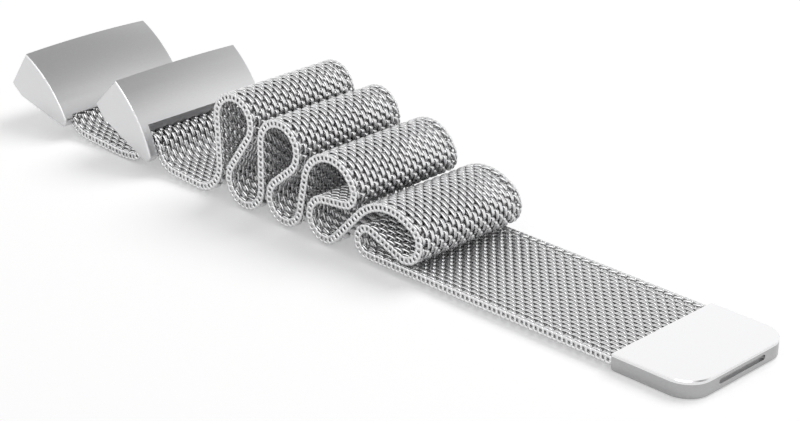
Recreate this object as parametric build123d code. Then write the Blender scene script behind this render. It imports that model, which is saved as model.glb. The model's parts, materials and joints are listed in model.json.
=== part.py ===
from build123d import *
import os
from math import asin, atan2, cos, hypot, pi, radians, sin, sqrt, tan

# Milanese mesh band for a watch, lying loosely folded on a table.
# Millimetres. +X runs along the band to the clasp, +Y across it, +Z up from the table.
# The whole band is drawn from the clasp's free end at X = 0 and centred at the end.

# Woven mesh. One row is one flattened coil of wire right across the band, and shows
# on both faces as a rib with a groove on either side of it.
mesh_width = 20.0
mesh_thickness = 1.3
row_groove_depth = 0.2
row_end_gap = 0.08
eye_gap = 0.05

# How the mesh lies: the flat run at the clasp, the height of the first fold,
# and the sag between the fixed lug's pin and the sliding lug's bar.
flat_run_length = 43.05
fold_height = 16.85
lug_spacing = 19.1
valley_lift = 0.3
sag_lift = 0.05
rest_gap = 0.3

# Watch lugs, one at the end of the mesh and one that the mesh slides through.
lug_length = 12.2
lug_end_height = 6.55
lug_crown = 0.95
lug_tip_reach = 0.35
lug_edge_radius = 0.5
lug_heel_radius = 0.35
lug_sole_length = 2.7
lug_sole_radius = 1.2
lug_rim_radius = 0.3
lug_end_angle = 81.6
lug_sole_angle = 5.0
lug_taper_angle = 28.9
fixed_lug_angle = -41.4
sliding_lug_angle = -52.4
cheek_wall = 1.5
cheek_gap = 0.12
pin_setback = 1.7
pin_depth = 1.0
pin_seat = 1.0
pin_fit = 0.01

# Pin that holds the mesh in the fixed lug, and the bar that it slides over in the other.
anchor_pin_radius = 0.35
anchor_pin_height = 3.5
anchor_mouth_radius = 0.9
visor_reach = 1.0
mouth_flare_angle = 60.0
slot_bar_radius = 0.8
slot_bar_height = 3.75
slot_bar_gap = 0.15
slot_opening_radius = 3.4

# Sprung catch in the watch end of each lug.
catch_radius = 1.0
catch_proud = 0.5
catch_flange_radius = 1.65
catch_flange_thickness = 0.5
catch_stem_radius = 0.55
catch_stem_length = 1.45
catch_travel = 0.4
catch_gap = 0.05
catch_bore_radius = 1.75
catch_bore_depth = 4.2
cover_radius = 2.3
cover_thickness = 0.6
spring_radius = 1.15
spring_wire = 0.4
spring_turns = 4.5

# Polymer pads that quieten the lug in the watch.
pad_length = 3.0
pad_height = 1.6
pad_recess = 0.35
pad_proud = 0.15
pad_spacing = 15.2

# Magnetic clasp.
clasp_length = 12.2
clasp_overhang = 0.1
clasp_height = 2.5
clasp_corner_radius = 3.6
clasp_floor = 0.5
clasp_side_wall = 0.8
clasp_end_wall = 1.0
clasp_heel_radius = 0.7
clasp_rim_bevel = 0.2
clasp_plate_thickness = 0.5
clasp_plate_bevel = 0.15
clasp_inset = 1.65
clasp_tail_gap = 0.15
clasp_rod_radius = 0.35
clasp_rod_seat = 0.5
groove_length = 9.4
groove_height = 0.7
groove_depth = 0.35
magnet_length = 7.4
magnet_width = 7.3
magnet_thickness = 1.05
magnet_spacing = 0.4
magnet_wall_gap = 0.4
keeper_thickness = 0.4

overrun = 5.0

half_mesh = mesh_thickness / 2
mesh_middle = clasp_height / 2
lug_inner_width = mesh_width + 2 * cheek_gap
lug_width = lug_inner_width + 2 * cheek_wall
clasp_width = mesh_width + 2 * clasp_overhang
clasp_inner_width = clasp_width - 2 * clasp_side_wall
clasp_rod_x = -clasp_length + clasp_inset
slot_bend_radius = slot_bar_radius + slot_bar_gap + half_mesh

# The bends in the sag, as shares of the lug spacing: how far each lies past the pin and
# its radius, then its lift. The sharp rise carries on from the sag at an angle.
lug_exit_shares = (0.2458, 0.2616, 0.0236)
sag_shares = (0.6388, 0.7489)
rise_shares = (0.1046, 0.0015)
rise_angle = -77.8

# The bends in the folds, as shares of the fold height: how far each lies behind the
# last crest and its radius, then the height of a crest's top or the lift of a valley.
# The last crest stands on the flat run, so its top is counted from the strip resting there.
slot_drop_shares = (2.5040, 0.1959, 0.0386)
slot_slack_share = 0.0046
valley_shares = [(2.1895, 0.2641), (1.6199, 0.1931), (1.1510, 0.1779), (0.6944, 0.1690)]
crest_shares = [(1.7564, 0.2021, 1.0), (1.2282, 0.2076, 0.923), (0.6469, 0.2786, 0.798)]
tuck_shares = (0.1159, 0.0040)
tuck_angle = 19.5
last_crest_shares = (0.4214, 0.3653, 0.0086)
bight_shares = (0.3917, 0.1545)
loop_share = 0.1128

# Rows in each stiff span of the mesh, from the fixed lug to the clasp.
# A span ends in a round nose that turns in the hollow end of the next one,
# unless its name is in fixed_ends.
span_rows = {
    "mesh_sag_1": 7,
    "mesh_sag_2": 6,
    "mesh_sag_3": 7,
    "mesh_slot_bend": 13,
    "mesh_slot_run": 9,
    "mesh_valley_0": 12,
    "mesh_fold_1_rise": 10,
    "mesh_fold_1_crest": 16,
    "mesh_fold_1_fall": 8,
    "mesh_valley_1": 16,
    "mesh_fold_2_rise": 9,
    "mesh_fold_2_crest": 19,
    "mesh_fold_2_fall": 5,
    "mesh_valley_2": 15,
    "mesh_fold_3_rise": 7,
    "mesh_fold_3_crest": 16,
    "mesh_fold_3_tuck": 5,
    "mesh_fold_3_return": 5,
    "mesh_valley_3": 14,
    "mesh_fold_4_rise": 8,
    "mesh_fold_4_crest": 14,
    "mesh_fold_4_bight": 10,
    "mesh_fold_4_return": 7,
    "mesh_fold_4_loop": 9,
    "mesh_flat_1": 15,
    "mesh_flat_2": 8,
    "mesh_flat_3": 8,
    "mesh_flat_4": 8,
    "mesh_flat_5": 8,
    "mesh_flat_6": 5,
    "mesh_clasp_tail": 5,
}
fixed_ends = ["mesh_slot_bend", "mesh_fold_3_crest", "mesh_fold_4_crest",
              "mesh_fold_4_loop"]


def valley_bend(x, radius, lift):
    """A bend whose hollow side is up: centre x, centre z, radius, turn to the left."""
    return (x, half_mesh + lift + radius, radius, 1)


def crest_bend(x, radius, top):
    """A bend whose hollow side is down, with its outside at a height."""
    return (x, top - half_mesh - radius, radius, -1)


def tighter_bend(bend, angle, radius, slack):
    """A tighter bend of the same hand that carries on from a wider one."""
    x, z, wide_radius, side = bend
    reach = wide_radius - radius + slack
    return (x + reach * cos(radians(angle)), z + reach * sin(radians(angle)), radius, side)


def fold_bends():
    """The bends from the sliding lug's bar to the clasp."""
    loop_radius = loop_share * fold_height
    loop = (clasp_rod_x - flat_run_length, mesh_middle + loop_radius, loop_radius, 1)
    bight_reach, bight_radius = [share * fold_height for share in bight_shares]
    rest_height = mesh_middle + mesh_thickness + rest_gap
    bight = (loop[0] + bight_reach, rest_height + bight_radius, bight_radius, -1)
    radius, top, slack = [share * fold_height for share in last_crest_shares]
    crest_z = rest_height + top - radius
    rise = bight[1] - crest_z
    crest_x = bight[0] - sqrt((radius - bight_radius + slack) ** 2 - rise ** 2)
    last_crest = (crest_x, crest_z, radius, -1)
    reach, radius, lift = [share * fold_height for share in slot_drop_shares]
    bends = [valley_bend(crest_x - reach, radius, lift)]
    for valley, crest in zip(valley_shares, crest_shares):
        reach, radius = [share * fold_height for share in valley]
        bends.append(valley_bend(crest_x - reach, radius, valley_lift))
        reach, radius, top = [share * fold_height for share in crest]
        bends.append(crest_bend(crest_x - reach, radius, top))
    radius, slack = [share * fold_height for share in tuck_shares]
    bends.append(tighter_bend(bends[-1], tuck_angle, radius, slack))
    reach, radius = [share * fold_height for share in valley_shares[-1]]
    bends.append(valley_bend(crest_x - reach, radius, valley_lift))
    return bends + [last_crest, bight, loop]


def slot_bend(drop):
    """The bend over the sliding lug's bar, just clear of the bend that drops from it."""
    reach = slot_bend_radius + drop[2] + slot_slack_share * fold_height
    x = drop[0] - sqrt(reach ** 2 - (drop[1] - slot_bar_height) ** 2)
    return (x, slot_bar_height, slot_bend_radius, -1)


def sag_bends(start_x):
    """The bends between the fixed lug's pin and the sliding lug's bar."""
    reach, radius, lift = [share * lug_spacing for share in lug_exit_shares]
    lug_exit = valley_bend(start_x + reach, radius, lift)
    reach, radius = [share * lug_spacing for share in sag_shares]
    sag = valley_bend(start_x + reach, radius, sag_lift)
    radius, slack = [share * lug_spacing for share in rise_shares]
    return [lug_exit, sag, tighter_bend(sag, rise_angle, radius, slack)]


def left_of(heading):
    """The unit direction to the left of a heading in the X-Z plane."""
    return (-sin(heading), cos(heading))


def tangent_run(first, second):
    """Heading and ends of the straight run that leaves one bend and meets the next."""
    x1, z1, r1, side1 = first
    x2, z2, r2, side2 = second
    span = hypot(x2 - x1, z2 - z1)
    heading = atan2(z2 - z1, x2 - x1) - asin((side2 * r2 - side1 * r1) / span)
    nx, nz = left_of(heading)
    leave = (x1 - side1 * r1 * nx, z1 - side1 * r1 * nz)
    meet = (x2 - side2 * r2 * nx, z2 - side2 * r2 * nz)
    return heading, leave, meet


def build_route():
    """Straight runs and arcs in order: kind, start length, length and shape."""
    pin = (pin_x, anchor_pin_height, 0, 1)
    rod = (clasp_rod_x, mesh_middle, 0, 1)
    stops = [pin] + sag_bends(pin_x) + [over_bar] + folds + [rod]
    runs = [tangent_run(a, b) for a, b in zip(stops, stops[1:])]
    route = []
    travelled = 0
    for index, (heading, leave, meet) in enumerate(runs):
        length = hypot(meet[0] - leave[0], meet[1] - leave[1])
        route.append(("run", travelled, length, leave, heading))
        travelled += length
        if index + 1 < len(runs):
            x, z, radius, side = stops[index + 1]
            turn = (side * (runs[index + 1][0] - heading)) % (2 * pi)
            route.append(("arc", travelled, turn * radius, (x, z, radius, side), heading))
            travelled += turn * radius
    return route, travelled


def place_on(piece, along, offset=0):
    """Point and heading on one piece of the route, moved to the left by an offset."""
    kind, start, length, shape, heading = piece
    if kind == "run":
        nx, nz = left_of(heading)
        x = shape[0] + (along - start) * cos(heading) + offset * nx
        z = shape[1] + (along - start) * sin(heading) + offset * nz
        return x, z, heading
    cx, cz, radius, side = shape
    heading = heading + side * (along - start) / radius
    nx, nz = left_of(heading)
    reach = offset - side * radius
    return cx + reach * nx, cz + reach * nz, heading


def place_at(along):
    """Point and heading of the mesh's middle line at a length from the pin."""
    for piece in route:
        if along <= piece[1] + piece[2]:
            return place_on(piece, along)
    return place_on(route[-1], along)


def point(x, z):
    """A point in the band's middle plane."""
    return Vector(x, 0, z)


def rib_point(along, side):
    """A point on one face of the mesh, where each row's end is the crest of a rib."""
    from_crest = along - round(along / row_pitch) * row_pitch
    rib_radius = (row_pitch ** 2 / 4 + row_groove_depth ** 2) / (2 * row_groove_depth)
    drop = rib_radius - sqrt(rib_radius ** 2 - from_crest ** 2)
    x, z, heading = place_at(along)
    nx, nz = left_of(heading)
    offset = side * (half_mesh - drop)
    return point(x + offset * nx, z + offset * nz)


def face_edges(stations, side):
    """Edges of one face of the mesh: an arc over each rib, from station to station."""
    edges = []
    for low, high in zip(stations, stations[1:]):
        ends = [rib_point(along, side) for along in (low, (low + high) / 2, high)]
        edges.append(Edge.make_three_point_arc(*ends))
    return edges


def end_edge(along, forward, rounded):
    """The closing edge of a span: a straight cut, or a round nose about the rib's middle."""
    upper = rib_point(along, 1)
    lower = rib_point(along, -1)
    if not rounded:
        return Edge.make_line(upper, lower)
    x, z, heading = place_at(along)
    reach = half_mesh if forward else -half_mesh
    tip = point(x + reach * cos(heading), z + reach * sin(heading))
    return Edge.make_three_point_arc(upper, tip, lower)


def span_face(first_row, last_row, hinged, round_start, round_end):
    """Side outline of one span of mesh. A hinged span starts in the groove past its hinge."""
    grooves = [(row + 1 / 2) * row_pitch for row in range(first_row, last_row)]
    stations = grooves + [last_row * row_pitch]
    if not hinged:
        stations = [first_row * row_pitch] + stations
    edges = face_edges(stations, 1) + face_edges(stations, -1)
    edges.append(end_edge(stations[0], False, round_start))
    edges.append(end_edge(stations[-1], True, round_end))
    return Face(Wire(edges))


def across(face, width):
    """A solid of a side outline, as wide as given and centred on the band."""
    return extrude(face, amount=width / 2, dir=(0, 1, 0), both=True)


def rod_across(x, z, radius, width):
    """A round rod across the band."""
    plane = Plane(origin=(x, 0, z), x_dir=(1, 0, 0), z_dir=(0, 1, 0))
    return plane * Cylinder(radius, width)


def make_spans():
    """Every span of the mesh, by node name."""
    spans = {}
    row = 0
    last = list(span_rows)[-1]
    hinged = False
    for name, rows in span_rows.items():
        first_row = row
        row += rows
        first = first_row == 0
        outline = span_face(first_row, row, hinged, first, name not in fixed_ends)
        solid = across(outline, mesh_width)
        x, z, _ = place_at(first_row * row_pitch)
        if hinged:
            solid -= rod_across(x, z, half_mesh + row_end_gap, mesh_width + overrun)
        if first:
            solid -= rod_across(x, z, anchor_pin_radius + eye_gap, mesh_width + overrun)
        if name == last:
            solid = trim_tail(solid)
        spans[name] = solid
        hinged = name not in fixed_ends
    return spans


def trim_tail(solid):
    """Narrow the last rows so that they fit between the clasp's walls, and bore their eye."""
    length = clasp_length - clasp_inset + mesh_thickness
    side = (mesh_width - clasp_inner_width) / 2 + clasp_tail_gap
    for way in (-1, 1):
        y = way * (mesh_width / 2 - side / 2 + overrun / 2)
        notch = Box(length, side + overrun, clasp_height + overrun)
        x = -clasp_length - clasp_tail_gap + length / 2
        solid -= Pos(x, y, mesh_middle) * notch
    return solid - rod_across(clasp_rod_x, mesh_middle, clasp_rod_radius, mesh_width)


class Lug:
    """Where one lug lies: its outer face runs from the watch end towards the mesh."""

    def __init__(self, angle, pin_at):
        self.heading = radians(angle)
        self.pin = pin_at
        self.along = (cos(self.heading), sin(self.heading))
        self.inward = (sin(self.heading), -cos(self.heading))

    def at(self, u, w):
        """A point u along the outer face and w in from it, as x and z."""
        du = u - (lug_length - pin_setback)
        dw = w - pin_depth
        x = self.pin[0] + du * self.along[0] + dw * self.inward[0]
        z = self.pin[1] + du * self.along[1] + dw * self.inward[1]
        return point(x, z)

    def outline(self):
        """Side outline of the wedge, with its crowned outer face, blunt tip and short sole."""
        top = self.at(0, 0)
        crown = self.at(lug_length / 2, -lug_crown)
        rim = self.at(lug_length, 0)
        tip = self.at(tip_u, sole_w - (tip_u - sole_u) * tan(radians(lug_taper_angle)))
        corners = [rim, tip, self.at(sole_u, sole_w), self.at(heel_u, heel_w), top]
        outer = Edge.make_three_point_arc(top, crown, rim)
        sides = [Edge.make_line(*ends) for ends in zip(corners, corners[1:])]
        return Face(Wire([outer] + sides))

    def wedge(self):
        """The whole wedge, with its corners and its rims rounded."""
        solid = across(self.outline(), lug_width)
        ends = solid.edges().filter_by(Axis.Y)
        tip_ends = ends.sort_by_distance(self.at(tip_u, lug_tip_reach))[:2]
        solid = fillet(tip_ends, lug_edge_radius)
        for corner, radius in (((heel_u, heel_w), lug_heel_radius),
                               ((sole_u, sole_w), lug_sole_radius)):
            ends = solid.edges().filter_by(Axis.Y)
            solid = fillet(ends.sort_by_distance(self.at(*corner))[0], radius)
        cheeks = solid.faces().sort_by(Axis.Y)
        return fillet(cheeks[0].edges() + cheeks[-1].edges(), lug_rim_radius)

    def end_plane(self):
        """A plane on the middle of the watch end, facing the watch, with x across the band."""
        middle = (self.at(0, 0) + self.at(heel_u, heel_w)) / 2
        down = (self.at(heel_u, heel_w) - self.at(0, 0)).normalized()
        outward = Vector(down.Z, 0, -down.X)
        if outward.dot(point(*self.along)) > 0:
            outward = -outward
        return Plane(origin=middle, x_dir=(0, 1, 0), z_dir=outward)


def disc(radius, low, high):
    """A round piece between two heights on the end plane."""
    return Pos(0, 0, (low + high) / 2) * Cylinder(radius, high - low)


def pad_shape(low, high):
    """Both polymer pads between two heights on the end plane."""
    outline = SlotOverall(pad_length, pad_height)
    pads = [Pos(way * pad_spacing / 2, 0, low) * outline for way in (-1, 1)]
    return [extrude(pad, amount=high - low) for pad in pads]


def mesh_mouth(lug):
    """Room in the fixed lug for the end of the mesh, open to the tip and the wrist side."""
    u = lug_length - pin_setback
    r = anchor_mouth_radius
    flare = radians(mouth_flare_angle)
    reach = lug_length
    back = (u - r * sin(flare), pin_depth + r * cos(flare))
    corners = [
        (u, pin_depth - r),
        (u + visor_reach, pin_depth - r),
        (u + visor_reach, -reach),
        (u + reach, -reach),
        (u + reach, reach),
        (back[0] + reach * cos(flare), back[1] + reach * sin(flare)),
        back,
    ]
    opening = Face(Wire.make_polygon([lug.at(*corner) for corner in corners]))
    room = across(opening, lug_inner_width)
    return room + rod_across(*lug.pin, r, lug_inner_width)


def slot_mouth(lug):
    """Room in the sliding lug for the mesh to pass over the bar."""
    return rod_across(*lug.pin, slot_opening_radius, lug_inner_width)


def lug_body(lug, mouth, pin_radius):
    """One lug: a wedge with two cheeks, pin seats, and the pockets in its watch end."""
    body = lug.wedge() - mouth
    body -= rod_across(*lug.pin, pin_radius + pin_fit, lug_inner_width + 2 * pin_seat)
    plane = lug.end_plane()
    body -= plane * disc(cover_radius + pin_fit, -cover_thickness, overrun)
    body -= plane * disc(catch_bore_radius, -catch_bore_depth, 0)
    for pad in pad_shape(-pad_recess, overrun):
        body -= plane * pad
    return body


def lug_pin(lug, radius):
    """The pin or bar between the cheeks, a little shorter than its seats."""
    return rod_across(*lug.pin, radius, lug_inner_width + 2 * (pin_seat - pin_fit))


def catch(plane):
    """The sprung catch: a round head, a flange under the cover and a stem in the spring."""
    flange_top = -cover_thickness - catch_gap
    flange_foot = flange_top - catch_flange_thickness
    piece = disc(catch_radius, flange_top, catch_proud)
    piece += disc(catch_flange_radius, flange_foot, flange_top)
    piece += disc(catch_stem_radius, flange_foot - catch_stem_length, flange_foot)
    piece = plane * piece
    rim = piece.edges().filter_by(GeomType.CIRCLE).sort_by_distance(plane.origin)
    head = [e for e in rim if e.radius > catch_radius - pin_fit and e.radius < catch_radius + pin_fit]
    outer = max(head, key=lambda e: (e.arc_center - plane.origin).dot(plane.z_dir))
    return fillet(outer, catch_radius * head_rounding_share)


def catch_cover(plane):
    """The ring that keeps the catch in."""
    ring = disc(cover_radius, -cover_thickness, 0)
    return plane * (ring - disc(catch_radius + catch_gap, -cover_thickness - overrun, overrun))


def catch_spring(plane):
    """A short coil between the bore's floor and the flange, clear of its travel."""
    flange_foot = -cover_thickness - catch_gap - catch_flange_thickness
    top = flange_foot - catch_travel - catch_gap
    height = top + catch_bore_depth - spring_wire
    coil = Helix(height / spring_turns, height, spring_radius)
    wire = Plane(origin=coil @ 0, z_dir=coil % 0) * Circle(spring_wire / 2)
    spring = sweep(wire, coil, is_frenet=True)
    return plane * Pos(0, 0, -catch_bore_depth + spring_wire / 2) * spring


def make_lug(prefix, lug, mouth, pin_name, pin_radius):
    """The pieces of one lug, by node name."""
    plane = lug.end_plane()
    pads = [plane * pad for pad in pad_shape(-pad_recess, pad_proud)]
    return {
        prefix + "_body": lug_body(lug, mouth, pin_radius),
        pin_name: lug_pin(lug, pin_radius),
        prefix + "_catch": catch(plane),
        prefix + "_catch_cover": catch_cover(plane),
        prefix + "_catch_spring": catch_spring(plane),
        prefix + "_pads": Compound(children=pads),
    }


def clasp_outline(inset_end, inset_side):
    """Plan of the clasp, square at the mesh and round at the free corners."""
    length = clasp_length - inset_end
    width = clasp_width - 2 * inset_side
    plate = Pos(-inset_end - length / 2, 0) * Rectangle(length, width)
    corners = plate.vertices().sort_by(Axis.X)[-2:]
    return fillet(corners, clasp_corner_radius - max(inset_end, inset_side))


def clasp_tray():
    """The lower shell of the clasp, open at the top and at the mesh."""
    height = clasp_height - clasp_plate_thickness
    tray = extrude(clasp_outline(0, 0), amount=height)
    rim = tray.faces().sort_by(Axis.Z)[0].edges().sort_by(Axis.X)
    tray = chamfer(rim[1:], clasp_rim_bevel)
    heel = tray.edges().filter_by(Axis.Y).group_by(Axis.Z)[0].sort_by(Axis.X)[0]
    tray = fillet(heel, clasp_heel_radius)
    room = extrude(clasp_outline(clasp_end_wall, clasp_side_wall), amount=overrun)
    room += Pos(-clasp_length, 0, overrun / 2) * Box(overrun, clasp_inner_width, overrun)
    tray -= Pos(0, 0, clasp_floor) * room
    tray -= rod_across(clasp_rod_x, mesh_middle, clasp_rod_radius + pin_fit,
                       clasp_inner_width + 2 * clasp_rod_seat)
    return tray - end_groove()


def end_groove():
    """The fingernail groove in the clasp's free end."""
    plane = Plane(origin=(-groove_depth, 0, mesh_middle), x_dir=(0, 1, 0), z_dir=(1, 0, 0))
    return extrude(plane * SlotOverall(groove_length, groove_height), amount=overrun)


def clasp_plate():
    """The polished plate on top, with a fine bevel."""
    low = clasp_height - clasp_plate_thickness
    plate = Pos(0, 0, low) * extrude(clasp_outline(0, 0), amount=clasp_plate_thickness)
    return chamfer(plate.faces().sort_by(Axis.Z)[-1].edges(), clasp_plate_bevel)


def clasp_magnets():
    """Two block magnets side by side on the tray's floor."""
    x = -clasp_end_wall - magnet_wall_gap - magnet_length / 2
    z = clasp_floor + magnet_thickness / 2
    block = Box(magnet_length, magnet_width, magnet_thickness)
    reach = (magnet_width + magnet_spacing) / 2
    return Compound(children=[Pos(x, way * reach, z) * block for way in (-1, 1)])


def clasp_keeper():
    """The steel sheet that turns the magnets' pull to the underside."""
    x = -clasp_end_wall - magnet_wall_gap - magnet_length / 2
    z = clasp_floor + magnet_thickness + keeper_thickness / 2
    return Pos(x, 0, z) * Box(magnet_length, 2 * magnet_width + magnet_spacing, keeper_thickness)


def clasp_rod():
    """The rod through the last row's eye, seated in the tray's side walls."""
    width = clasp_inner_width + 2 * (clasp_rod_seat - pin_fit)
    return rod_across(clasp_rod_x, mesh_middle, clasp_rod_radius, width)


# Places that follow from the sizes above.
head_rounding_share = 0.3
folds = fold_bends()
over_bar = slot_bend(folds[0])
slot_bar_x = over_bar[0]
pin_x = slot_bar_x - lug_spacing
heel_u = lug_end_height * cos(radians(lug_end_angle))
heel_w = lug_end_height * sin(radians(lug_end_angle))
sole_u = heel_u + lug_sole_length * cos(radians(lug_sole_angle))
sole_w = heel_w - lug_sole_length * sin(radians(lug_sole_angle))
tip_u = lug_length + lug_tip_reach
route, route_length = build_route()
row_pitch = route_length / sum(span_rows.values())
fixed_lug = Lug(fixed_lug_angle, (pin_x, anchor_pin_height))
sliding_lug = Lug(sliding_lug_angle, (slot_bar_x, slot_bar_height))


def make_band():
    """Every piece of the band, by node name, drawn from the clasp's end."""
    pieces = make_spans()
    pieces.update(make_lug("fixed_lug", fixed_lug, mesh_mouth(fixed_lug),
                           "mesh_anchor_pin", anchor_pin_radius))
    pieces.update(make_lug("sliding_lug", sliding_lug, slot_mouth(sliding_lug),
                           "slot_bar", slot_bar_radius))
    pieces["clasp_tray"] = clasp_tray()
    pieces["clasp_plate"] = clasp_plate()
    pieces["clasp_magnets"] = clasp_magnets()
    pieces["clasp_keeper"] = clasp_keeper()
    pieces["clasp_rod"] = clasp_rod()
    return pieces


def extent(pieces):
    """Lowest and highest X of all the pieces."""
    boxes = [piece.bounding_box() for piece in pieces.values()]
    return min(box.min.X for box in boxes), max(box.max.X for box in boxes)


band = make_band()
low_x, high_x = extent(band)
centre_x = (low_x + high_x) / 2
os.makedirs("parts", exist_ok=True)
for node, piece in band.items():
    moved = Pos(-centre_x, 0, 0) * piece
    export_step(moved, "parts/" + node + ".step")
print("mesh length along its middle line", round(route_length, 2))
print("row pitch", round(row_pitch, 4))
print("rows", sum(span_rows.values()))
print("centre moved by", round(-centre_x, 3))
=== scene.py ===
import json
from math import asin, atan2, cos, hypot, pi, radians, sin, sqrt

import bmesh
import bpy
import numpy as np
from mathutils import Matrix, Vector


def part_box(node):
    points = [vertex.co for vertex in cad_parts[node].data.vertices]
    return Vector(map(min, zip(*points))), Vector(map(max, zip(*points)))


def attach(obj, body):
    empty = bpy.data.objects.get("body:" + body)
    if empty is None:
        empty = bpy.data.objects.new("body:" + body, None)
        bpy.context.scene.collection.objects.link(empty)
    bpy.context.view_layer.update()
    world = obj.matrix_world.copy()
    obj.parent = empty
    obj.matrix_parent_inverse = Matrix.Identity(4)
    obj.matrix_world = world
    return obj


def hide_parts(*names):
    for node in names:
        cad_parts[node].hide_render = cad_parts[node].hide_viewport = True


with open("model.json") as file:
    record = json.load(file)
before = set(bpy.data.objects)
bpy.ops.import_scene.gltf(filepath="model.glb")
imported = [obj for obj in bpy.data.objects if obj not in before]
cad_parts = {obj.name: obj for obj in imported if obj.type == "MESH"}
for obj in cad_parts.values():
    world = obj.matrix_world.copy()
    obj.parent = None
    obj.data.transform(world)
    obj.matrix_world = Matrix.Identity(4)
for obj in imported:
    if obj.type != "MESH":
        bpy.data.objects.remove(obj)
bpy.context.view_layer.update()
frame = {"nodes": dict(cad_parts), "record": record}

# A milanese mesh band for a watch, lying loosely folded on a pale table.
# Lengths are in millimetres up to the last step, which turns them into metres.
MM = 0.001

# The mesh's route. These values are the model's own, counted from the clasp's free end.
mesh_width = 20.0
mesh_thickness = 1.3
flat_run_length = 43.05
fold_height = 16.85
lug_spacing = 19.1
valley_lift = 0.3
sag_lift = 0.05
rest_gap = 0.3
anchor_pin_height = 3.5
slot_bar_radius = 0.8
slot_bar_height = 3.75
slot_bar_gap = 0.15
clasp_length = 12.2
clasp_height = 2.5
clasp_inset = 1.65

lug_exit_shares = (0.2458, 0.2616, 0.0236)
sag_shares = (0.6388, 0.7489)
rise_shares = (0.1046, 0.0015)
rise_angle = -77.8
slot_drop_shares = (2.5040, 0.1959, 0.0386)
slot_slack_share = 0.0046
valley_shares = [(2.1895, 0.2641), (1.6199, 0.1931), (1.1510, 0.1779), (0.6944, 0.1690)]
crest_shares = [(1.7564, 0.2021, 1.0), (1.2282, 0.2076, 0.923), (0.6469, 0.2786, 0.798)]
tuck_shares = (0.1159, 0.0040)
tuck_angle = 19.5
last_crest_shares = (0.4214, 0.3653, 0.0086)
bight_shares = (0.3917, 0.1545)
loop_share = 0.1128

# Rows of the weave on each body, from the fixed lug to the clasp.
body_rows = {
    "sag_1": 7, "sag_2": 6, "sag_3": 7, "slot_bend": 22, "valley_0": 12,
    "fold_1_rise": 10, "fold_1_crest": 16, "fold_1_fall": 8, "valley_1": 16,
    "fold_2_rise": 9, "fold_2_crest": 19, "fold_2_fall": 5, "valley_2": 15,
    "fold_3_rise": 7, "fold_3_crest": 21, "fold_3_return": 5, "valley_3": 14,
    "fold_4_rise": 8, "fold_4_crest": 24, "fold_4_return": 7, "fold_4_loop": 24,
    "flat_2": 8, "flat_3": 8, "flat_4": 8, "flat_5": 8, "flat_6": 5, "clasp_tail": 5,
}

half_mesh = mesh_thickness / 2
mesh_middle = clasp_height / 2
clasp_rod_x = -clasp_length + clasp_inset


def valley_bend(x, radius, lift):
    """A bend whose mesh runs along the table, or a lift above it: x, z, radius, side."""
    return (x, half_mesh + lift + radius, radius, 1)


def crest_bend(x, radius, top):
    """A bend whose mesh reaches a height: x, z, radius, side."""
    return (x, top - half_mesh - radius, radius, -1)


def tighter_bend(bend, angle, radius, slack):
    """A smaller bend that carries on from a wider one at an angle in degrees."""
    x, z, wide_radius, side = bend
    reach = wide_radius - radius + slack
    return (x + reach * cos(radians(angle)), z + reach * sin(radians(angle)), radius, side)


def fold_bends():
    """The bends from the sliding lug's bar to the clasp: centre x, centre z, radius, side."""
    loop_radius = loop_share * fold_height
    loop = (clasp_rod_x - flat_run_length, mesh_middle + loop_radius, loop_radius, 1)
    bight_reach, bight_radius = [share * fold_height for share in bight_shares]
    rest_height = mesh_middle + mesh_thickness + rest_gap
    bight = (loop[0] + bight_reach, rest_height + bight_radius, bight_radius, -1)
    radius, top, slack = [share * fold_height for share in last_crest_shares]
    crest_z = rest_height + top - radius
    rise = bight[1] - crest_z
    crest_x = bight[0] - sqrt((radius - bight_radius + slack) ** 2 - rise ** 2)
    last_crest = (crest_x, crest_z, radius, -1)
    reach, radius, lift = [share * fold_height for share in slot_drop_shares]
    bends = [valley_bend(crest_x - reach, radius, lift)]
    for valley, crest in zip(valley_shares, crest_shares):
        reach, radius = [share * fold_height for share in valley]
        bends.append(valley_bend(crest_x - reach, radius, valley_lift))
        reach, radius, top = [share * fold_height for share in crest]
        bends.append(crest_bend(crest_x - reach, radius, top))
    radius, slack = [share * fold_height for share in tuck_shares]
    bends.append(tighter_bend(bends[-1], tuck_angle, radius, slack))
    reach, radius = [share * fold_height for share in valley_shares[-1]]
    bends.append(valley_bend(crest_x - reach, radius, valley_lift))
    return bends + [last_crest, bight, loop]


def slot_bend(drop):
    """The bend over the sliding lug's bar, at a distance from the drop that follows it."""
    slot_bend_radius = slot_bar_radius + slot_bar_gap + half_mesh
    reach = slot_bend_radius + drop[2] + slot_slack_share * fold_height
    x = drop[0] - sqrt(reach ** 2 - (drop[1] - slot_bar_height) ** 2)
    return (x, slot_bar_height, slot_bend_radius, -1)


def sag_bends(start_x):
    """The bends from the fixed lug to the sliding lug's bar."""
    reach, radius, lift = [share * lug_spacing for share in lug_exit_shares]
    lug_exit = valley_bend(start_x + reach, radius, lift)
    reach, radius = [share * lug_spacing for share in sag_shares]
    sag = valley_bend(start_x + reach, radius, sag_lift)
    radius, slack = [share * lug_spacing for share in rise_shares]
    return [lug_exit, sag, tighter_bend(sag, rise_angle, radius, slack)]


def tangent_run(first, second):
    """The straight run between two bends: heading, and where it leaves one and meets the other."""
    x1, z1, r1, side1 = first
    x2, z2, r2, side2 = second
    span = hypot(x2 - x1, z2 - z1)
    heading = atan2(z2 - z1, x2 - x1) - asin((side2 * r2 - side1 * r1) / span)
    nx, nz = -sin(heading), cos(heading)
    leave = (x1 - side1 * r1 * nx, z1 - side1 * r1 * nz)
    meet = (x2 - side2 * r2 * nx, z2 - side2 * r2 * nz)
    return heading, leave, meet


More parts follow.
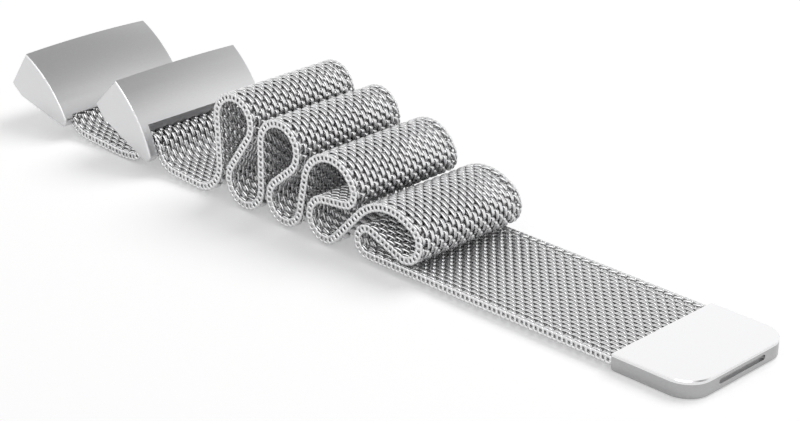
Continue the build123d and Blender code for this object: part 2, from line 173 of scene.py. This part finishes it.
def build_route():
    """Straight runs and arcs in order: kind, start length, length, shape and heading."""
    folds = fold_bends()
    over_bar = slot_bend(folds[0])
    pin_x = over_bar[0] - lug_spacing
    pin = (pin_x, anchor_pin_height, 0, 1)
    rod = (clasp_rod_x, mesh_middle, 0, 1)
    stops = [pin] + sag_bends(pin_x) + [over_bar] + folds + [rod]
    runs = [tangent_run(a, b) for a, b in zip(stops, stops[1:])]
    pieces = []
    travelled = 0
    for index, (heading, leave, meet) in enumerate(runs):
        length = hypot(meet[0] - leave[0], meet[1] - leave[1])
        pieces.append(("run", travelled, length, leave, heading))
        travelled += length
        if index + 1 < len(runs):
            x, z, radius, side = stops[index + 1]
            turn = (side * (runs[index + 1][0] - heading)) % (2 * pi)
            pieces.append(("arc", travelled, turn * radius, (x, z, radius, side), heading))
            travelled += turn * radius
    return pieces, travelled


def place_at(along):
    """Point and heading of the mesh's middle line at a length from the fixed lug's pin."""
    piece = next((p for p in route if along <= p[1] + p[2]), route[-1])
    kind, start, length, shape, heading = piece
    if kind == "run":
        return (shape[0] + (along - start) * cos(heading),
                shape[1] + (along - start) * sin(heading), heading)
    cx, cz, radius, side = shape
    heading = heading + side * (along - start) / radius
    return cx + side * radius * sin(heading), cz - side * radius * cos(heading), heading


route, route_length = build_route()
row_count = sum(body_rows.values())
row_pitch = route_length / row_count
# The model is centred on its length, so the clasp's free end gives the shift.
shift_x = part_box("clasp_plate")[1].x / MM

# The woven coils. Each row is one flattened coil of flattened wire across the band and ends
# in a ring at either edge. Strong rows have their rings at the very edge, and weak rows,
# every second one, a little further in.
wire_half_height = 0.18
wire_half_width = 0.285
wire_sides = 8
coil_half_length = 0.67
coil_half_height = mesh_thickness / 2 - wire_half_height
coil_squareness = 3.6
turn_steps = 24
width_steps = 276
outline_steps = 1440
front_slope = 0.0
back_slope = 0.35
side_slope = 1.25
slope_change_shares = (0.1, 0.6)
weak_ring_inset = 0.04
narrow_inset_steps = 12
ring_half_section = 0.225
ring_half_length = row_pitch / 2
ring_half_height = mesh_thickness / 2 - ring_half_section
ring_squareness = 3.6
ring_half_width = 0.15
ring_blend_steps = 12
edge_y = mesh_width / 2 - ring_half_width
narrow_rows = 3
pin_eye = (0.6, 0.6)
rod_eye = (0.56, 0.54)


def smooth(share):
    """A share held between 0 and 1 and eased at both ends."""
    held = np.clip(share, 0, 1)
    return held * held * (3 - 2 * held)


def turn_shape(half_length, half_height, squareness):
    """One turn of a coil in equal steps of wire: x, z, and the share of the pitch gained."""
    angle = -2 * np.pi * np.arange(outline_steps + 1) / outline_steps
    c, s = np.cos(angle), np.sin(angle)
    x = half_length * np.sign(c) * np.abs(c) ** (2 / squareness)
    z = half_height * np.sign(s) * np.abs(s) ** (2 / squareness)
    low, high = slope_change_shares
    on_face = smooth((np.abs(z) / half_height - low) / (high - low))
    face_slope = np.where(z > 0, front_slope, back_slope)
    slope = side_slope + (face_slope - side_slope) * on_face
    step = np.hypot(np.diff(x), np.diff(z))
    length = np.concatenate([[0], np.cumsum(step)])
    gained = np.concatenate([[0], np.cumsum(step * (slope[1:] + slope[:-1]))])
    steps = np.arange(turn_steps) / turn_steps * length[-1]
    return [np.interp(steps, length, value) for value in (x, z, gained / gained[-1])]


def coil_line(strong, inset, half_length, half_height):
    """Centre line of one coil across the band, with a closed ring at either edge."""
    half_turn = 0 if strong else turn_steps // 2
    reach = edge_y if strong else edge_y - weak_ring_inset
    first = half_turn + inset
    last = half_turn + width_steps - inset
    steps = np.arange(first - turn_steps, last + turn_steps + 1)
    held = np.clip(steps, first, last)
    shape_x, shape_z, gained = turn_shape(half_length, half_height, coil_squareness)
    ring_x, ring_z, _ = turn_shape(ring_half_length, ring_half_height, ring_squareness)
    turns = held // turn_steps + gained[held % turn_steps] - half_turn / turn_steps
    pitch = 2 * reach / (width_steps // turn_steps + gained[width_steps % turn_steps])
    y = -reach + turns * pitch
    outward = np.where(held < (first + last) / 2, -1.0, 1.0)
    phase = steps % turn_steps
    ringed = 1 - smooth(np.minimum(held - first, last - held) / ring_blend_steps)
    x = shape_x[phase] + (ring_x - shape_x)[phase] * ringed
    z = shape_z[phase] + (ring_z - shape_z)[phase] * ringed
    y += outward * (y[0] + reach) * ringed
    half_heights = wire_half_height + (ring_half_section - wire_half_height) * ringed
    half_widths = wire_half_width + (ring_half_width - wire_half_width) * ringed
    return np.stack([x, y, z], axis=1), half_heights, half_widths


def tube(line, half_heights, half_widths, sides):
    """Vertices and faces of a flattened wire along a line, closed at both ends."""
    ahead = np.roll(line, -1, axis=0)
    behind = np.roll(line, 1, axis=0)
    ahead[-1] = line[-1] + (line[-1] - line[-2])
    behind[0] = line[0] - (line[1] - line[0])
    tangent = ahead - behind
    tangent /= np.linalg.norm(tangent, axis=1)[:, None]
    out = np.cross(tangent, np.array([0.0, 1.0, 0.0]))
    out /= np.linalg.norm(out, axis=1)[:, None]
    side = np.cross(tangent, out)
    turn = 2 * np.pi * np.arange(sides) / sides
    heights = half_heights[:, None, None]
    widths = half_widths[:, None, None]
    vertices = (line[:, None] + heights * np.cos(turn)[None, :, None] * out[:, None]
                + widths * np.sin(turn)[None, :, None] * side[:, None]).reshape(-1, 3)
    rings = np.arange(len(line) - 1)[:, None] * sides
    here = np.arange(sides)[None, :]
    after = (here + 1) % sides
    quads = np.stack([rings + here, rings + after, rings + sides + after,
                      rings + sides + here], axis=2).reshape(-1, 4)
    start_cap = list(range(sides))[::-1]
    end_cap = [(len(line) - 1) * sides + k for k in range(sides)]
    return vertices, quads, [start_cap, end_cap]


def make_mesh(name, blocks):
    """One object from several (vertices, quads, caps), in millimetres."""
    vertices = []
    faces = []
    base = 0
    for block, quads, caps in blocks:
        vertices.append(block)
        faces += (quads + base).tolist()
        faces += [[k + base for k in cap] for cap in caps]
        base += len(block)
    mesh = bpy.data.meshes.new(name)
    mesh.from_pydata((np.concatenate(vertices) * MM).tolist(), [], faces)
    mesh.polygons.foreach_set("use_smooth", [True] * len(mesh.polygons))
    mesh.update()
    piece = bpy.data.objects.new(name, mesh)
    bpy.context.scene.collection.objects.link(piece)
    return piece


coil_kinds = {}


def coil_block(row):
    """Local vertices and faces of the coil of one row, from a small store of kinds."""
    strong = row % 2 == 1
    size = (coil_half_length, coil_half_height)
    if row == 0:
        size = pin_eye
    if row == row_count:
        size = rod_eye
    inset = narrow_inset_steps if row > row_count - narrow_rows else 0
    key = (strong, inset) + size
    if key not in coil_kinds:
        line, half_heights, half_widths = coil_line(strong, inset, *size)
        coil_kinds[key] = tube(line, half_heights, half_widths, wire_sides)
    return coil_kinds[key]


def placed_coil(row):
    """The coil of one row, where it lies on the route."""
    x, z, heading = place_at(row * row_pitch)
    local, quads, caps = coil_block(row)
    world = np.empty_like(local)
    world[:, 0] = x + shift_x + local[:, 0] * cos(heading) - local[:, 2] * sin(heading)
    world[:, 1] = local[:, 1]
    world[:, 2] = z + local[:, 0] * sin(heading) + local[:, 2] * cos(heading)
    return world, quads, caps


# Finishes. The greys lean slightly towards blue.
blue_lean = 1.01
grain_detail = 3.0
# Painted shade: the woven wire's colour darkens in its crevices, within this reach, down to the
# darkest share.
crevice_shade_reach = 1.4
crevice_shade_samples = 8
crevice_shade_open_shares = (0.1, 0.75)
crevice_shade_darkest = 0.65


def grey(level):
    return (level, level, level * blue_lean, 1.0)


def make_finish(name, tone, roughness, grain, stretch, bump, metallic=1.0):
    """A grained finish. Tone and roughness are given plain, then lowest and highest in the grain.

    The grain is in spots per metre, and bump is its strength and its depth in millimetres.
    """
    material = bpy.data.materials.new(name)
    material.use_nodes = True
    nodes = material.node_tree.nodes
    links = material.node_tree.links
    shader = nodes["Principled BSDF"]
    shader.inputs["Base Color"].default_value = grey(tone[0])
    shader.inputs["Metallic"].default_value = metallic
    shader.inputs["Roughness"].default_value = roughness[0]
    place = nodes.new("ShaderNodeTexCoord")
    mapping = nodes.new("ShaderNodeMapping")
    mapping.inputs["Scale"].default_value = stretch
    noise = nodes.new("ShaderNodeTexNoise")
    noise.inputs["Scale"].default_value = grain
    noise.inputs["Detail"].default_value = grain_detail
    links.new(place.outputs["Object"], mapping.inputs["Vector"])
    links.new(mapping.outputs["Vector"], noise.inputs["Vector"])
    level = nodes.new("ShaderNodeMapRange")
    level.inputs["To Min"].default_value = roughness[1]
    level.inputs["To Max"].default_value = roughness[2]
    links.new(noise.outputs["Fac"], level.inputs["Value"])
    links.new(level.outputs["Result"], shader.inputs["Roughness"])
    height = nodes.new("ShaderNodeBump")
    height.inputs["Strength"].default_value = bump[0]
    height.inputs["Distance"].default_value = bump[1] * MM
    links.new(noise.outputs["Fac"], height.inputs["Height"])
    links.new(height.outputs["Normal"], shader.inputs["Normal"])
    toned = nodes.new("ShaderNodeMix")
    toned.data_type = "RGBA"
    toned.inputs["A"].default_value = grey(tone[1])
    toned.inputs["B"].default_value = grey(tone[2])
    links.new(noise.outputs["Fac"], toned.inputs["Factor"])
    links.new(toned.outputs["Result"], shader.inputs["Base Color"])
    return material


def paint_crevice_shade(material):
    """Painted shade: the wire's colour is darkened where its neighbours close round it, as ambient
    occlusion finds it.
    """
    nodes = material.node_tree.nodes
    links = material.node_tree.links
    base_colour = nodes["Principled BSDF"].inputs["Base Color"]
    # Ambient occlusion darkens the base colour here: painted shade.
    openness = nodes.new("ShaderNodeAmbientOcclusion")
    openness.samples = crevice_shade_samples
    openness.inputs["Distance"].default_value = crevice_shade_reach * MM
    level = nodes.new("ShaderNodeMapRange")
    level.inputs["From Min"].default_value = crevice_shade_open_shares[0]
    level.inputs["From Max"].default_value = crevice_shade_open_shares[1]
    level.inputs["To Min"].default_value = crevice_shade_darkest
    links.new(openness.outputs["AO"], level.inputs["Value"])
    crevice_shaded = nodes.new("ShaderNodeMix")
    crevice_shaded.data_type = "RGBA"
    crevice_shaded.blend_type = "MULTIPLY"
    crevice_shaded.inputs["Factor"].default_value = 1.0
    links.new(base_colour.links[0].from_socket, crevice_shaded.inputs["A"])
    links.new(level.outputs["Result"], crevice_shaded.inputs["B"])
    links.new(crevice_shaded.outputs["Result"], base_colour)


even = (1.0, 1.0, 1.0)
brushed_across = (1.0, 0.25, 1.0)
brushed_upright = (0.3, 0.3, 1.0)
polished_across = (1.0, 0.2, 1.0)
woven = make_finish("woven_wire", (0.64, 0.66, 0.78), (0.25, 0.2, 0.34),
                    2600.0, even, (0.25, 0.02))
# Painted shade in the woven wire's crevices.
paint_crevice_shade(woven)
satin = make_finish("satin_steel", (0.7, 0.66, 0.74), (0.36, 0.32, 0.42),
                    9000.0, brushed_across, (0.2, 0.01))
# Painted shade: the clasp's sides get a darker tone than the plate on top, for the shade they
# show; their upright brushing is their own.
shaded_side_steel = make_finish("clasp_side_painted_shade_steel", (0.42, 0.38, 0.46), (0.3, 0.26, 0.36),
                         9000.0, brushed_upright, (0.15, 0.01))
polished = make_finish("polished_plate", (0.78, 0.76, 0.8), (0.14, 0.12, 0.2),
                       4000.0, polished_across, (0.05, 0.005))
fitting = make_finish("turned_steel", (0.6, 0.55, 0.65), (0.25, 0.2, 0.32),
                      12000.0, even, (0.15, 0.01))
magnet = make_finish("nickel_magnet", (0.5, 0.46, 0.54), (0.3, 0.26, 0.36),
                     8000.0, even, (0.1, 0.01))
polymer = make_finish("grey_polymer", (0.07, 0.055, 0.085), (0.6, 0.55, 0.7),
                      15000.0, even, (0.4, 0.02), metallic=0.0)

node_materials = {
    "fixed_lug_body": satin, "sliding_lug_body": satin,
    "clasp_tray": shaded_side_steel, "clasp_plate": polished, "clasp_keeper": fitting,
    "clasp_rod": fitting, "clasp_magnets": magnet, "slot_bar": fitting,
    "mesh_anchor_pin": fitting,
}
for lug in ("fixed_lug", "sliding_lug"):
    for part in ("_catch", "_catch_cover", "_catch_spring"):
        node_materials[lug + part] = fitting
    node_materials[lug + "_pads"] = polymer


def paint(piece, material):
    piece.data.materials.clear()
    piece.data.materials.append(material)


for node, material in node_materials.items():
    paint(frame["nodes"][node], material)

body_nodes = frame["record"]["behaviour"]["bodies"]

# The lug bodies, crowned across the band as well as along it. A face belongs to the outer
# face where it looks up and towards the clasp and the whole lug lies behind it.
lug_crown = 0.4
lug_crown_cuts = 24
lug_rim = 0.3
least_facing = 0.15
weld_distance = 0.001
facet_slack = 0.03
sharp_angle = 0.4


def outer_ways(shell):
    """The vertices of a lug's outer face, each with the sum of its faces' normals."""
    points = np.array([vert.co for vert in shell.verts])
    ways = {}
    for face in shell.faces:
        way = face.normal
        if way.x < least_facing or way.z < least_facing or abs(way.y) > least_facing:
            continue
        if (points @ np.array(way)).max() > way.dot(face.verts[0].co) + facet_slack * MM:
            continue
        for vert in face.verts:
            ways[vert] = ways.get(vert, Vector()) + way
    return ways


def crowned_lug(node):
    """A copy of a lug body whose outer face rises a little towards the middle."""
    source = frame["nodes"][node]
    mesh = source.data.copy()
    mesh.transform(source.matrix_world)
    shell = bmesh.new()
    shell.from_mesh(mesh)
    bmesh.ops.remove_doubles(shell, verts=shell.verts, dist=weld_distance * MM)
    reach = max(vert.co.y for vert in shell.verts) - lug_rim * MM
    for k in range(lug_crown_cuts + 1):
        cut = reach * (2 * k / lug_crown_cuts - 1)
        everything = shell.verts[:] + shell.edges[:] + shell.faces[:]
        bmesh.ops.bisect_plane(shell, geom=everything, plane_co=(0, cut, 0), plane_no=(0, 1, 0))
    shell.normal_update()
    ways = outer_ways(shell)
    top = max(vert.co.z for vert in ways)
    low = min(vert.co.z for vert in ways)
    for vert, way in ways.items():
        across = max(0.0, 1 - (vert.co.y / reach) ** 2)
        along = (vert.co.z - low) / (top - low)
        vert.co += way.normalized() * lug_crown * MM * across * along
    for face in shell.faces:
        face.smooth = True
    for edge in shell.edges:
        edge.smooth = edge.calc_face_angle(0.0) < sharp_angle
    shell.to_mesh(mesh)
    shell.free()
    piece = bpy.data.objects.new("crowned_" + node, mesh)
    bpy.context.scene.collection.objects.link(piece)
    return piece


for node in ("fixed_lug_body", "sliding_lug_body"):
    piece = crowned_lug(node)
    paint(piece, satin)
    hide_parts(node)
    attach(piece, next(body for body, held in body_nodes.items() if node in held))

# The weave on its bodies. The first body has row 0, the fixed lug's pin, as well.
row = 0
for body, rows in body_rows.items():
    own_rows = range(row if row == 0 else row + 1, row + rows + 1)
    piece = make_mesh("weave_" + body, [placed_coil(k) for k in own_rows])
    row += rows
    paint(piece, woven)
    spans = [n for n in body_nodes[body] if n.startswith("mesh_") and n != "mesh_anchor_pin"]
    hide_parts(*spans)
    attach(piece, body)

# The stage: a matt floor that glows a little, so that it stays white and keeps the shadow.
# From here on, lengths are in metres.
floor_reach = 3.0
floor_tone = 0.85
floor_glow = 0.35
white = (1.0, 1.0, 1.0, 1.0)


def pale_floor():
    material = bpy.data.materials.new("pale_floor")
    material.use_nodes = True
    nodes = material.node_tree.nodes
    links = material.node_tree.links
    nodes.clear()
    matt = nodes.new("ShaderNodeBsdfDiffuse")
    matt.inputs["Color"].default_value = (floor_tone, floor_tone, floor_tone, 1.0)
    glow = nodes.new("ShaderNodeEmission")
    glow.inputs["Color"].default_value = white
    rays = nodes.new("ShaderNodeLightPath")
    seen = nodes.new("ShaderNodeMath")
    seen.operation = "MAXIMUM"
    level = nodes.new("ShaderNodeMath")
    level.operation = "MULTIPLY"
    level.inputs[1].default_value = floor_glow
    both = nodes.new("ShaderNodeAddShader")
    out = nodes.new("ShaderNodeOutputMaterial")
    links.new(rays.outputs["Is Camera Ray"], seen.inputs[0])
    links.new(rays.outputs["Is Glossy Ray"], seen.inputs[1])
    links.new(seen.outputs[0], level.inputs[0])
    links.new(level.outputs[0], glow.inputs["Strength"])
    links.new(matt.outputs[0], both.inputs[0])
    links.new(glow.outputs[0], both.inputs[1])
    links.new(both.outputs[0], out.inputs["Surface"])
    return material


floor_mesh = bpy.data.meshes.new("floor")
floor_mesh.from_pydata([(-floor_reach, -floor_reach, 0), (floor_reach, -floor_reach, 0),
                        (floor_reach, floor_reach, 0), (-floor_reach, floor_reach, 0)],
                       [], [(0, 1, 2, 3)])
floor_mesh.materials.append(pale_floor())
floor = bpy.data.objects.new("floor", floor_mesh)
bpy.context.scene.collection.objects.link(floor)

# The studio, as the steel mirrors it: bright round the horizon, dull overhead, and bright
# all the way up on the near side. What is seen past the floor is white.
sky_turn = (0.5, 0.76)
sky_levels = (1.2, 0.38)
near_turn = (0.15, -0.2)
near_level = 1.15
fill_level = 0.4


def studio_world():
    world = bpy.data.worlds.new("studio")
    world.use_nodes = True
    nodes = world.node_tree.nodes
    links = world.node_tree.links
    nodes.clear()
    rays = nodes.new("ShaderNodeLightPath")
    way = nodes.new("ShaderNodeTexCoord")
    parts = nodes.new("ShaderNodeSeparateXYZ")
    links.new(way.outputs["Generated"], parts.inputs[0])
    dome = nodes.new("ShaderNodeMapRange")
    dome.inputs["From Min"].default_value = sky_turn[0]
    dome.inputs["From Max"].default_value = sky_turn[1]
    dome.inputs["To Min"].default_value = sky_levels[0]
    dome.inputs["To Max"].default_value = sky_levels[1]
    links.new(parts.outputs["Z"], dome.inputs["Value"])
    near_side = nodes.new("ShaderNodeMapRange")
    near_side.inputs["From Min"].default_value = near_turn[0]
    near_side.inputs["From Max"].default_value = near_turn[1]
    links.new(parts.outputs["Y"], near_side.inputs["Value"])
    around = nodes.new("ShaderNodeMix")
    around.inputs["B"].default_value = near_level
    links.new(near_side.outputs["Result"], around.inputs["Factor"])
    links.new(dome.outputs["Result"], around.inputs["A"])
    mirrored = nodes.new("ShaderNodeMath")
    mirrored.operation = "MAXIMUM"
    links.new(rays.outputs["Is Glossy Ray"], mirrored.inputs[0])
    links.new(rays.outputs["Is Transmission Ray"], mirrored.inputs[1])
    lit = nodes.new("ShaderNodeMix")
    lit.inputs["A"].default_value = fill_level
    links.new(mirrored.outputs[0], lit.inputs["Factor"])
    links.new(around.outputs[0], lit.inputs["B"])
    strength = nodes.new("ShaderNodeMath")
    strength.operation = "MAXIMUM"
    links.new(lit.outputs[0], strength.inputs[0])
    links.new(rays.outputs["Is Camera Ray"], strength.inputs[1])
    back = nodes.new("ShaderNodeBackground")
    back.inputs["Color"].default_value = white
    links.new(strength.outputs[0], back.inputs["Strength"])
    out = nodes.new("ShaderNodeOutputWorld")
    links.new(back.outputs[0], out.inputs["Surface"])
    return world


bpy.context.scene.world = studio_world()

lamp_size = 0.7
band_place = (0.0, 0.0, 0.0)


def area_lamp(name, place, power):
    """A round lamp that looks at the band."""
    light = bpy.data.lights.new(name, "AREA")
    light.shape = "DISK"
    light.size = lamp_size
    light.energy = power
    lamp = bpy.data.objects.new(name, light)
    bpy.context.scene.collection.objects.link(lamp)
    way = Vector(band_place) - Vector(place)
    lamp.rotation_euler = way.to_track_quat("-Z", "Y").to_euler()
    lamp.location = place
    return lamp


overhead = area_lamp("overhead", (0.05, 0.5, 0.75), 4.2)
overhead.visible_glossy = False
softbox = area_lamp("softbox", (0.25, -0.45, 0.7), 2.0)
softbox.visible_diffuse = False

# The camera. Its place is in millimetres from the clasp's free end, its angles in radians.
picture_width = 800
focal_pixels = 2260.36
camera_yaw = -0.746
camera_pitch = 0.416
camera_roll = 0.03
camera_place = (133.604, -206.271, 127.777)
sensor_width = 36.0
nearest_seen = 0.01
farthest_seen = 10.0

camera_data = bpy.data.cameras.new("camera")
camera_data.sensor_width = sensor_width
camera_data.sensor_fit = "HORIZONTAL"
camera_data.lens = focal_pixels * sensor_width / picture_width
camera_data.clip_start = nearest_seen
camera_data.clip_end = farthest_seen
camera = bpy.data.objects.new("camera", camera_data)
bpy.context.scene.collection.objects.link(camera)
bpy.context.scene.camera = camera
forward = Vector((sin(camera_yaw) * cos(camera_pitch), cos(camera_yaw) * cos(camera_pitch),
                  -sin(camera_pitch)))
level_right = Vector((cos(camera_yaw), -sin(camera_yaw), 0.0))
level_up = level_right.cross(forward)
right = cos(camera_roll) * level_right + sin(camera_roll) * level_up
up = cos(camera_roll) * level_up - sin(camera_roll) * level_right
pose = Matrix((right, up, -forward)).transposed().to_4x4()
pose.translation = (Vector(camera_place) + Vector((shift_x, 0.0, 0.0))) * MM
camera.matrix_world = pose

bpy.context.scene.view_settings.view_transform = "Standard"
